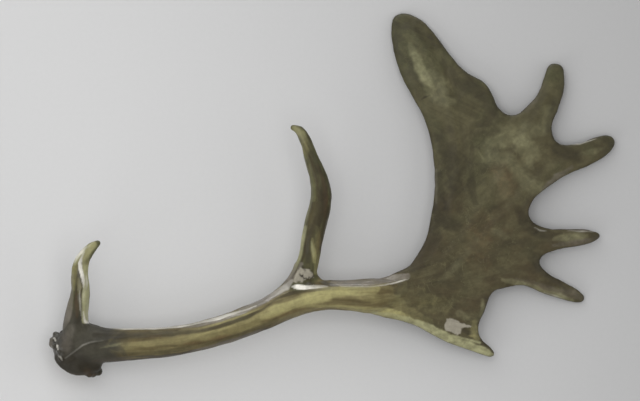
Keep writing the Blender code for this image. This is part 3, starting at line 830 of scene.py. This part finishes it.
def antler_mesh():
    """The whole skin with its relief."""
    mesh = one_skin(swollen_solids())
    places = places_of(mesh)
    share = BEAD_SMOOTHING + (1 - BEAD_SMOOTHING) * eased(from_burr(places), *BEAD_REACH)
    on_belly = 1 - eased(distance_to(places, BELLY_LINE), *BELLY_REACH)
    share = np.maximum(share, BELLY_SMOOTHING * on_belly)
    places = smoothed(mesh, places, SMOOTHING_PASSES, share)
    set_places(mesh, places)
    normals = normals_of(mesh)
    set_places(mesh, places + normals * (relief(places, normals) - SWELL)[:, None])
    return mesh


def unevenness(places):
    """Two sways and an unevenness for the strokes, drawn out along the grain."""
    tine = tine_share(places)
    palm = palm_share(places)
    along_beam = beam_grain(places) * DRAWN_OUT
    along_tine = tine_grain(places) * DRAWN_OUT
    parts = []
    for size, seed in ((SWAY_SIZE, 31), (SWAY_SIZE, 37), (UNEVEN_SIZE, 43)):
        beam = layered(along_beam / size, 2, seed)
        part = beam + tine * (layered(along_tine / size, 2, seed) - beam)
        parts.append(part + palm * (layered(places / size, 3, seed) - part))
    return np.stack(parts, axis=1)


def stroked(places, up, strokes, uneven):
    """How strongly soft, uneven strokes seen from above cover each place, 0 to 1."""
    cover = np.zeros(len(places))
    for line, half_width, softness, strength in strokes:
        widths = np.broadcast_to(half_width, len(line))
        widest = np.max(widths)
        reach = widest + softness
        swayed = places[:, :2] + uneven[:, :2] * SWAY * reach
        low = np.min(line, axis=0) - reach
        high = np.max(line, axis=0) + reach
        near = np.all((swayed > low) & (swayed < high), axis=1)
        distance, along, _ = nearest_on_line(swayed[near], line)
        share = np.interp(along, np.append(0, np.cumsum(lengths_of(line))), widths / widest)
        here = 1 - eased(distance / (THIN_REACH + (1 - THIN_REACH) * share), widest, reach)
        steady = strength * (THIN_STRENGTH + (1 - THIN_STRENGTH) * share)
        here *= steady * (1 + UNEVENNESS * uneven[near, 2])
        cover[near] = np.maximum(cover[near], here)
    return np.clip(cover, 0, 1) * up


def inside(points, outline):
    """Whether each point lies in a closed outline."""
    within = np.zeros(len(points), dtype=bool)
    for start, end in zip(outline, outline[1:] + outline[:1]):
        crosses = (start[1] > points[:, 1]) != (end[1] > points[:, 1])
        share = (points[:, 1] - start[1]) / ((end[1] - start[1]) or 1)
        within ^= crosses & (points[:, 0] < start[0] + share * (end[0] - start[0]))
    return within


def scraped(places, up):
    """Millimetres that each place lies inside the scraped patches, and less than 0 outside them."""
    depth = np.full(len(places), -SCRAPE_REACH)
    for outline in SCRAPES:
        distance = distance_to(places[:, :2], outline + outline[:1])
        depth = np.maximum(depth, np.where(inside(places[:, :2], outline), distance, -distance))
    return depth * up - SCRAPE_REACH * (1 - up)


def hollowness(mesh, places, normals):
    """How far each place lies below its surroundings, in millimetres."""
    spread = places
    for passes, share in HOLLOW_ROUNDS:
        spread = smoothed(mesh, spread, passes, np.full(len(places), share))
    return np.sum((spread - places) * normals, axis=1)


def keep(mesh, name, values):
    """Store a value or a vector of the mesh's corners under a name."""
    kind, field = ("FLOAT", "value") if values.ndim == 1 else ("FLOAT_VECTOR", "vector")
    attribute = mesh.attributes.new(name, kind, "POINT")
    attribute.data.foreach_set(field, values.astype(np.float32).ravel())


def mark(mesh):
    """Store on the mesh what its material is painted by, and the way it faces."""
    places = places_of(mesh)
    normals = normals_of(mesh)
    up = eased(normals[:, 2], *STROKE_SIDE)
    tine = tine_share(places)
    left = 1 - eased(places[:, 0], *UNDER_SHADE_FADE)
    marks = {
        "facing": normals,
        "grain": beam_grain(places) * MM,
        "tine_grain": tine_grain(places) * MM,
        "tine": tine,
        "palm": palm_share(places),
        "foot": 1 - eased(from_burr(places), *FOOT_FADE),
        "burr": 1 - eased(from_burr(places), *BURR_FADE),
        "seal": seal_share(places, normals),
        # Steep palm edges, the beam's side that faces down the frame, and hollows are marked for painted
        # shade.
        "rim_shade": 1 - eased(np.abs(normals[:, 2]), *RIM_SHADE_SIDE),
        "under": eased(-normals[:, 1], *UNDER_SHADE_SIDE) * (1 - tine) * left,
        "scrape": scraped(places, up) * MM,
        "hollow_shade": hollowness(mesh, places, normals),
    }
    uneven = unevenness(places)
    for name, strokes in STROKES.items():
        marks[name] = stroked(places, up, strokes, uneven)
    for name, values in marks.items():
        keep(mesh, name, values)


def half_of(skin, on_palm):
    """The skin on one side of the seam, shaded as if still whole."""
    shape = bmesh.new()
    shape.from_mesh(skin)
    far = [face for face in shape.faces if (face.calc_center_median().x > SEAM * MM) != on_palm]
    bmesh.ops.delete(shape, geom=far, context="FACES")
    half = mesh_of(shape, "half")
    half.shade_smooth()
    facing = vectors(half.attributes["facing"].data, "vector")
    half.normals_split_custom_set_from_vertices(facing.tolist())
    return half


def linear(red, green, blue):
    """A screen colour of 0 to 255 as the colour a shader takes."""
    parts = [part / 255 for part in (red, green, blue)]
    return (*[part / 12.92 if part <= 0.04045 else ((part + 0.055) / 1.055) ** 2.4 for part in parts], 1)


class Painter:
    """One material's nodes, added one after another."""

    def __init__(self, name):
        self.material = bpy.data.materials.new(name)
        self.material.use_nodes = True
        self.tree = self.material.node_tree
        self.shader = self.tree.nodes["Principled BSDF"]

    def put(self, kind, inputs, output=0, **settings):
        """The output of a new node with these inputs and settings."""
        node = self.tree.nodes.new("ShaderNode" + kind)
        for setting, value in settings.items():
            setattr(node, setting, value)
        for socket, value in inputs.items():
            if isinstance(value, bpy.types.NodeSocket):
                self.tree.links.new(value, node.inputs[socket])
            else:
                node.inputs[socket].default_value = value
        return node.outputs[output]

    def drive(self, socket, value):
        """Let a value or colour drive one of the shader's inputs."""
        self.tree.links.new(value, self.shader.inputs[socket])

    def stored(self, name, output="Fac"):
        """A value that the mesh's corners carry."""
        return self.put("Attribute", {}, output, attribute_name=name)

    def noise(self, vector, size, detail, roughness, warp):
        """Noise from 0 to 1 whose cells are of a size in millimetres."""
        inputs = {
            "Vector": vector, "Scale": 1 / (size * MM), "Detail": detail, "Roughness": roughness,
            "Distortion": warp,
        }
        return self.put("TexNoise", inputs, "Fac")

    def along_grain(self, name, stretch, look):
        """Noise drawn out along the grain that the mesh carries under a name."""
        inputs = {0: self.stored(name, "Vector"), 1: (stretch, 1, 1)}
        return self.noise(self.put("VectorMath", inputs, operation="MULTIPLY"), *look)

    def ramp(self, value, low, high, to_low=0.0, to_high=1.0):
        """The value eased from one range to another."""
        inputs = {
            "Value": value, "From Min": low, "From Max": high, "To Min": to_low, "To Max": to_high,
        }
        return self.put("MapRange", inputs, "Result", interpolation_type="SMOOTHSTEP")

    def spread(self, noise, low, high):
        """Noise whose usual values are eased to a range."""
        return self.ramp(noise, *USUAL_NOISE, low, high)

    def math(self, operation, *values):
        """What an operation makes of the values."""
        return self.put("Math", dict(enumerate(values)), operation=operation)

    def sum(self, first, second):
        """The two values added up."""
        return self.math("ADD", first, second)

    def times(self, first, second):
        """The two values multiplied."""
        return self.math("MULTIPLY", first, second)

    def blended(self, share, first, second):
        """The first value turning into the second as the share grows."""
        return self.put("Mix", {"Factor": share, "A": first, "B": second})

    def mixed(self, share, first, second):
        """The first colour, given by itself or by its name, turning into the second."""
        inputs = {"Factor": share}
        for socket, colour in zip(MIX_COLOURS, (first, second)):
            inputs[socket] = linear(*COLOURS[colour]) if isinstance(colour, str) else colour
        return self.put("Mix", inputs, MIXED_COLOUR, data_type="RGBA")


def antler_patterns(paint):
    """The noise of each pattern, and how far up the frame a place is."""
    space = paint.put("TexCoord", {}, "Object")
    tine = paint.stored("tine")
    patterns = {name: paint.noise(space, *look) for name, look in PATTERNS.items()}
    for name, (stretch, *look) in GRAIN_PATTERNS.items():
        pair = [paint.along_grain(grain, stretch, look) for grain in ("grain", "tine_grain")]
        patterns[name] = paint.blended(tine, *pair)
    northing = paint.put("SeparateXYZ", {0: space}, "Y")
    patterns["upper"] = paint.ramp(northing, UPPER_PALM[0] * MM, UPPER_PALM[1] * MM)
    return patterns


def toned(paint, patterns, colour, tones):
    """A colour with tones over it that come up where their patterns do."""
    for name, start, full, strength, tone in tones:
        colour = paint.mixed(paint.ramp(patterns[name], start, full, 0, strength), colour, tone)
    return colour


def palm_colour(paint, patterns):
    """The palm: brown below and green above, toned, with pale scuffs along thin winding lines."""
    upper, clouds = patterns["upper"], patterns["clouds"]
    green = paint.sum(paint.times(upper, 0.5), paint.ramp(clouds, 0.35, 0.65, 0, 0.45))
    colour = toned(paint, patterns, paint.mixed(green, "palm_brown", "palm_green"), PALM_TONES)
    from_middle = paint.math("ABSOLUTE", paint.sum(patterns["scuffs"], -0.5))
    scuffs = paint.ramp(from_middle, *SCUFF_LINES)
    scuffs = paint.times(scuffs, paint.ramp(clouds, 0.4, 0.6, 0, 0.4))
    scuffs = paint.times(scuffs, paint.ramp(upper, 0, 1, 1.7, 0.8))
    return paint.mixed(scuffs, colour, "palm_pale")


def round_colour(paint, patterns):
    """The beam and the tines, each brown with tones along its grain."""
    beam = toned(paint, patterns, "beam_brown", BEAM_TONES)
    tine = toned(paint, patterns, "tine_brown", TINE_TONES)
    return paint.mixed(paint.stored("tine"), beam, tine)


def laid_on(paint, colour, name, grit):
    """The colour under a layer of strokes whose cover is broken up by the grit."""
    strength, thin, thick, fade = LAYERS[name]
    cover = paint.times(paint.stored(name), paint.spread(grit, thin, thick))
    cover = paint.math("MINIMUM", paint.math("POWER", cover, fade), strength)
    return paint.mixed(cover, colour, name)


def antler_colour(paint, patterns):
    """The ground, then the colours of places, of strokes, of wear and of painted light and shade, each over
    the last.
    """
    streaks, mottle = patterns["streaks"], patterns["mottle"]
    palm = paint.stored("palm")
    turning = paint.ramp(paint.sum(palm, paint.spread(mottle, -0.25, 0.25)), 0.15, 0.85)
    colour = paint.mixed(turning, round_colour(paint, patterns), palm_colour(paint, patterns))
    grit = paint.blended(palm, streaks, mottle)
    colour = laid_on(paint, colour, "olive", grit)

    foot = paint.sum(paint.stored("foot"), paint.spread(patterns["blotches"], -0.15, 0.15))
    colour = paint.mixed(paint.ramp(foot, 0.1, 0.85), colour, "foot")
    colour = paint.mixed(paint.times(paint.stored("burr"), COVERS["burr"]), colour, "burr")
    # Painted shade on the beam's side that faces down the frame, away from the light.
    under = paint.sum(paint.stored("under"), paint.spread(streaks, -0.2, 0.2))
    colour = paint.mixed(paint.ramp(under, 0.1, 0.9, 0, COVERS["under"]), colour, "under")
    # Pale is partly painted highlight, grey mostly painted reflection and sheen; warm is the bone's own
    # colour.
    for name in ("pale", "warm", "grey"):
        colour = laid_on(paint, colour, name, grit)

    ragged = paint.spread(mottle, -SCRAPE_RAGGED * MM, SCRAPE_RAGGED * MM)
    low, high = [edge * MM for edge in SCRAPE_EDGE]
    scrape = paint.ramp(paint.sum(paint.stored("scrape"), ragged), low, high, 0, COVERS["scrape"])
    colour = paint.mixed(scrape, colour, "scrape")
    # Dark strokes: partly real cracks, stains and scratches, mostly painted shade.
    colour = laid_on(paint, colour, "dark_and_shade", grit)
    # Painted shade on the palm's steep edges, where they turn from the light.
    rim_shade = paint.times(paint.stored("rim_shade"), palm)
    colour = paint.mixed(paint.times(rim_shade, COVERS["rim_shade"]), colour, "rim_shade")
    # Painted highlights over the rest.
    colour = laid_on(paint, colour, "painted_highlight", grit)
    # Painted shade in hollows and creases.
    hollow_shade = paint.ramp(paint.stored("hollow_shade"), 0.05, 0.45, 0, COVERS["hollow_shade"])
    colour = paint.mixed(hollow_shade, colour, "dark_and_shade")
    colour = paint.mixed(paint.times(paint.stored("seal"), COVERS["seal"]), colour, "seal")

    fine = paint.spread(patterns["fine_streaks"], 0.95, 1.05)
    tone = paint.times(fine, paint.spread(patterns["specks"], 0.95, 1.05))
    tone = paint.times(tone, paint.spread(mottle, 0.9, 1.1))
    return paint.put("HueSaturation", {"Color": colour, "Value": tone})


def antler_material():
    """Antler: olive brown bone with long streaks, worn pale, with painted highlights and shade, under a
    thin varnish.
    """
    paint = Painter("antler")
    patterns = antler_patterns(paint)
    paint.drive("Base Color", antler_colour(paint, patterns))

    gloss = paint.stored("gloss")
    rougher = paint.times(paint.stored("seal"), SEAL_ROUGHER)
    dull = paint.sum(paint.spread(patterns["blotches"], *ROUGHNESS), rougher)
    paint.drive("Roughness", paint.blended(gloss, dull, GLOSS_ROUGHNESS))
    paint.drive("Coat Weight", paint.ramp(gloss, 0, 1, *COAT))
    paint.shader.inputs["Coat Roughness"].default_value = COAT_ROUGHNESS
    paint.shader.inputs["Specular IOR Level"].default_value = SPECULAR

    height = 0
    for name, share in BUMPS.items():
        height = paint.sum(height, paint.times(patterns[name], share))
    bump = {"Strength": BUMP_STRENGTH, "Distance": BUMP_HEIGHT * MM, "Height": height}
    paint.drive("Normal", paint.put("Bump", bump, "Normal"))
    return paint.material


def floor_material():
    """Matt pale grey card, painted a little darker to the right as painted shade in place of light falling
    off.
    """
    paint = Painter("floor_card")
    space = paint.put("TexCoord", {}, "Object")
    speckle = paint.noise(space, *FLOOR_SPECKLE)
    left = paint.mixed(speckle, "left_card", "left_speckle")
    right = paint.mixed(speckle, "right_card", "right_speckle")
    across = paint.put("VectorMath", {0: space, 1: FLOOR_WAY}, "Value", operation="DOT_PRODUCT")
    turn = paint.ramp(across, FLOOR_TURN[0] * MM, FLOOR_TURN[1] * MM)
    paint.drive("Base Color", paint.mixed(turn, left, right))
    paint.shader.inputs["Roughness"].default_value = FLOOR_ROUGHNESS
    return paint.material


def put_floor():
    """The floor that the antler lies on."""
    shape = bmesh.new()
    bmesh.ops.create_grid(shape, x_segments=1, y_segments=1, size=FLOOR_SIZE / 2 * MM)
    floor = put_object("floor", mesh_of(shape, "floor"))
    floor.location.z = CAD_BOX[0][2] - FLOOR_GAP * MM
    floor.data.materials.append(floor_material())


def put_light(name, place, target, size, power, unseen_by):
    """A flat studio lamp at a place, facing a target."""
    lamp = bpy.data.lights.new(name, "AREA")
    lamp.shape = "RECTANGLE"
    lamp.size = size[0] * MM
    lamp.size_y = size[1] * MM
    lamp.energy = power
    thing = put_object(name, lamp)
    thing.location = Vector(place) * MM
    aim = (Vector(target) - Vector(place)).normalized()
    thing.rotation_euler = aim.to_track_quat("-Z", "Y").to_euler()
    for rays in unseen_by:
        setattr(thing, f"visible_{rays}", False)


def put_world():
    """Even pale light from all round."""
    world = bpy.data.worlds.new("studio")
    world.use_nodes = True
    sky = world.node_tree.nodes["Background"]
    sky.inputs["Color"].default_value = (1, 1, 1, 1)
    sky.inputs["Strength"].default_value = WORLD_STRENGTH
    bpy.context.scene.world = world


def put_camera():
    """A long lens that looks straight down."""
    lens = bpy.data.cameras.new("camera")
    lens.sensor_width = SENSOR
    lens.lens = FOCAL_LENGTH
    lens.clip_end = FAR_CLIP * MM
    camera = put_object("camera", lens)
    distance = FOCAL_LENGTH / SENSOR * PHOTO_WIDTH
    camera.location = Vector((*PHOTO_MIDDLE, SHARP_HEIGHT + distance)) * MM
    bpy.context.scene.camera = camera


def put_skin(name, skin, on_palm, material, nodes):
    """One half of the skin, in place of some of the solids."""
    piece = put_object(name, half_of(skin, on_palm))
    piece.data.materials.append(material)
    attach(piece, "root")
    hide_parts(*nodes)


whole_skin = antler_mesh()
mark(whole_skin)
antler = antler_material()
put_skin("antler_beam", whole_skin, False, antler, ("beam", "brow_tine", "trez_tine"))
put_skin("antler_palm", whole_skin, True, antler, ("palm",))
bpy.data.meshes.remove(whole_skin)

put_floor()
put_world()
for lamp_name, lamp_look in LAMPS.items():
    put_light(lamp_name, *lamp_look)
put_camera()
bpy.context.scene.view_settings.view_transform = "Standard"
